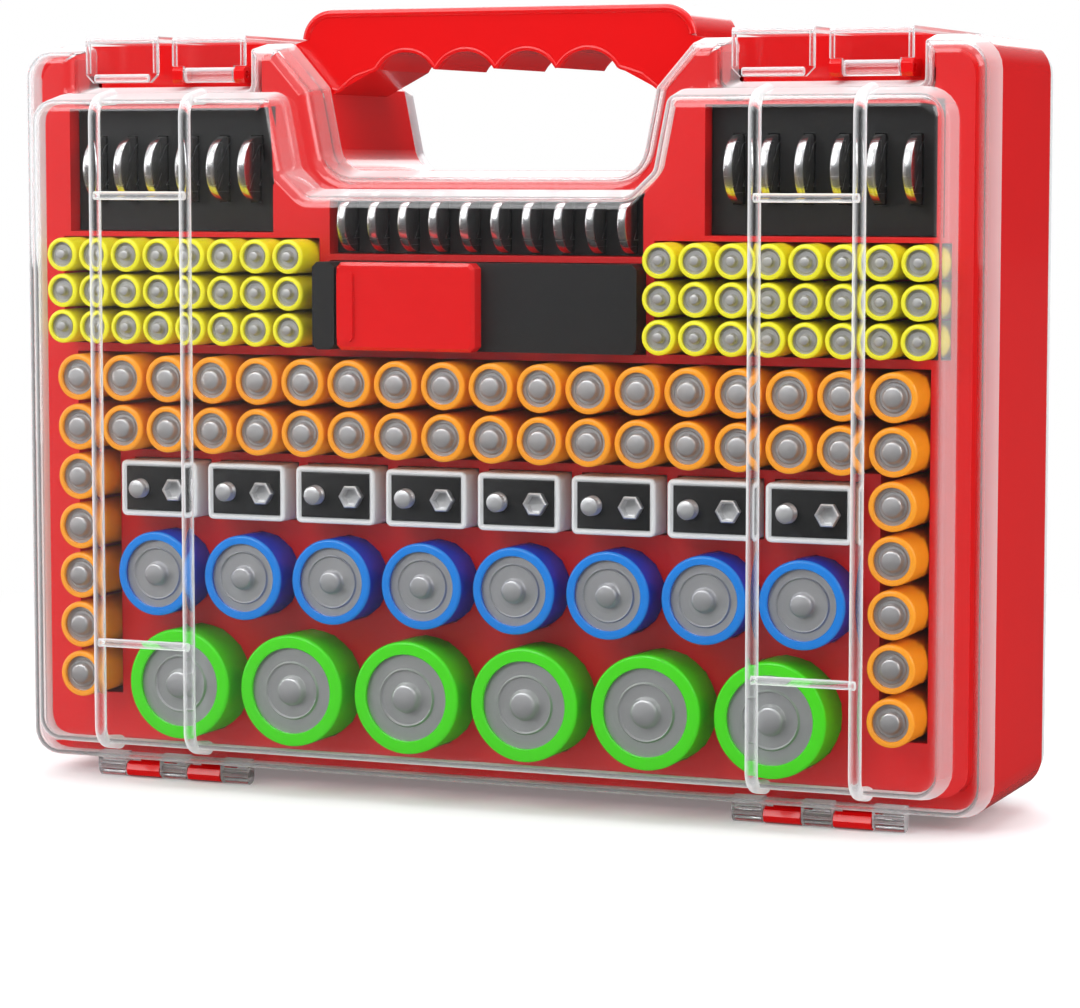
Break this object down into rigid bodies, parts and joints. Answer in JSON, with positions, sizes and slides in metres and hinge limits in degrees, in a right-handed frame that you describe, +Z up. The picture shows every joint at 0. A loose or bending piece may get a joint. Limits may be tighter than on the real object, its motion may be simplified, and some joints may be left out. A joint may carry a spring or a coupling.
{
  "type": "battery storage case",
  "caption": "Double-sided carry case for household batteries, with clear hinged lids, strap latches, a handle and a sliding tester.",
  "frame": {"origin": "on the surface it stands on, under the middle of the case", "axes": "+Z up, +X to the right seen from the front, +Y towards the rear"},
  "size_m": [0.3116, 0.108, 0.2385],
  "materials": {
    "red_body": "gloss",
    "red_tray": "satin",
    "pale_pin": "satin",
    "clear_lid": "gloss",
    "clear_strap": "gloss",
    "black_holder": "satin",
    "aa_wrap": "gloss",
    "aaa_wrap": "gloss",
    "c_wrap": "gloss",
    "d_wrap": "gloss",
    "nine_volt_case": "gloss",
    "cell_metal": "satin",
    "light_green_wrap": "gloss",
    "blue_wrap": "gloss",
    "dark_green_wrap": "gloss",
    "yellow_wrap": "gloss",
    "orange_wrap": "gloss",
    "cyan_wrap": "gloss",
    "royal_blue_wrap": "gloss",
    "green_wrap": "gloss"
  },
  "bodies": {
    "case": {"front_shell": "red_body", "rear_shell": "red_body", "front_deck": "red_tray", "rear_deck": "red_tray", "assembly_pins": "pale_pin", "coin_holder_front_left": "black_holder", "coin_holder_front_middle": "black_holder", "coin_holder_front_right": "black_holder", "coin_holder_rear_left": "black_holder", "coin_holder_rear_right": "black_holder", "tester_body": "black_holder", "aa_cells": "aa_wrap", "aaa_cells": "aaa_wrap", "c_cells": "c_wrap", "d_cells": "d_wrap", "nine_volt_cells": "nine_volt_case", "rear_wide_cells": "light_green_wrap", "rear_camera_cells": "blue_wrap", "rear_half_cells": "dark_green_wrap", "rear_short_cells": "yellow_wrap", "rear_medium_cells": "orange_wrap", "rear_slim_cells": "cyan_wrap", "rear_thin_cells": "royal_blue_wrap", "rear_tiny_cells": "green_wrap"},
    "front_lid": {"front_lid": "clear_lid", "front_lid_top_left": "clear_lid", "front_lid_top_right": "clear_lid"},
    "rear_lid": {"rear_lid": "clear_lid", "rear_lid_top_left": "clear_lid", "rear_lid_top_right": "clear_lid"},
    "latch_front_inner": {"latch_front_inner": "clear_strap"},
    "latch_front_outer": {"latch_front_outer": "clear_strap"},
    "latch_rear_inner": {"latch_rear_inner": "clear_strap"},
    "latch_rear_outer": {"latch_rear_outer": "clear_strap"},
    "tester_jaw": {"tester_jaw": "red_body"}
  },
  "joints": [
    {"name": "front_lid_hinge", "type": "hinge", "parent": "case", "child": "front_lid", "pos_m": [0, -0.034, 0.0025], "axis": [1, 0, 0], "range_deg": [0, 170]},
    {"name": "rear_lid_hinge", "type": "hinge", "parent": "case", "child": "rear_lid", "pos_m": [0, 0.034, 0.0025], "axis": [-1, 0, 0], "range_deg": [0, 170]},
    {"name": "latch_front_inner_hinge", "type": "hinge", "parent": "case", "child": "latch_front_inner", "pos_m": [-0.0915, -0.033, 0.2189], "axis": [1, 0, 0], "range_deg": [0, 88]},
    {"name": "latch_front_outer_hinge", "type": "hinge", "parent": "case", "child": "latch_front_outer", "pos_m": [0.1196, -0.033, 0.2189], "axis": [1, 0, 0], "range_deg": [0, 88]},
    {"name": "latch_rear_inner_hinge", "type": "hinge", "parent": "case", "child": "latch_rear_inner", "pos_m": [0.0915, 0.033, 0.2189], "axis": [-1, 0, 0], "range_deg": [0, 88]},
    {"name": "latch_rear_outer_hinge", "type": "hinge", "parent": "case", "child": "latch_rear_outer", "pos_m": [-0.1196, 0.033, 0.2189], "axis": [-1, 0, 0], "range_deg": [0, 88]},
    {"name": "tester_jaw_slide", "type": "slide", "parent": "case", "child": "tester_jaw", "axis": [1, 0, 0], "range_m": [0, 0.044]}
  ]
}
